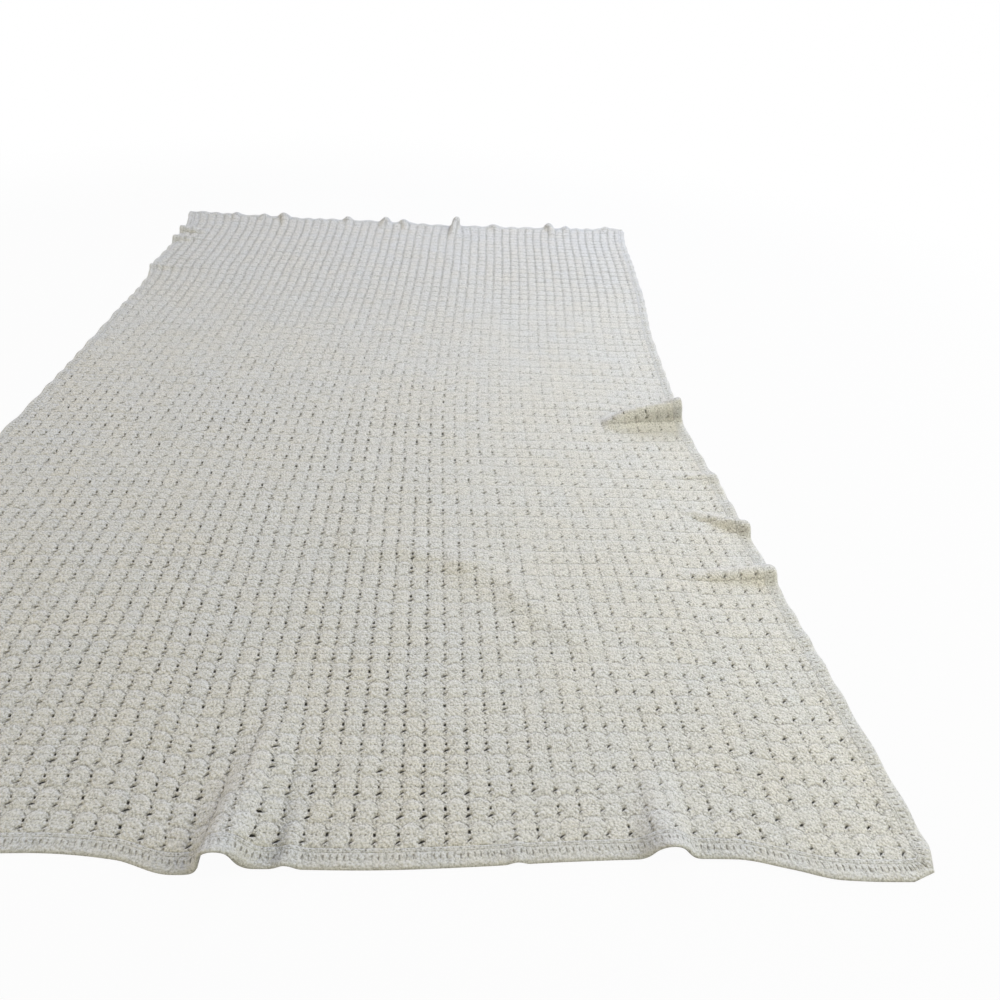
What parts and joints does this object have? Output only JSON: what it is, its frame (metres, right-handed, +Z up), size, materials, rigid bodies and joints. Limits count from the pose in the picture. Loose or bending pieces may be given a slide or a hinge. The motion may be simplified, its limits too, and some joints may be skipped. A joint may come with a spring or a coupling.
{
  "type": "crochet throw blanket",
  "caption": "Crochet throw blanket spread out flat, openwork ground of puffed stitches with a ribbed edging, small folds standing up along its edges.",
  "frame": {"origin": "middle of the blanket on the surface that it lies on", "axes": "+X towards the right-hand long edge, +Y from the near short edge to the far one, +Z up from the surface, face side up"},
  "size_m": [1.3158, 1.928, 0.052],
  "materials": {
    "ground_yarn": "matte plump two-ply yarn, off-white, crocheted in puffed cells with small openings",
    "edging_yarn": "the same matte off-white yarn, in close ribs that end in a rounded lip"
  },
  "bodies": {
    "root": {"stitched_ground": "ground_yarn", "edging": "edging_yarn"}
  },
  "joints": []
}
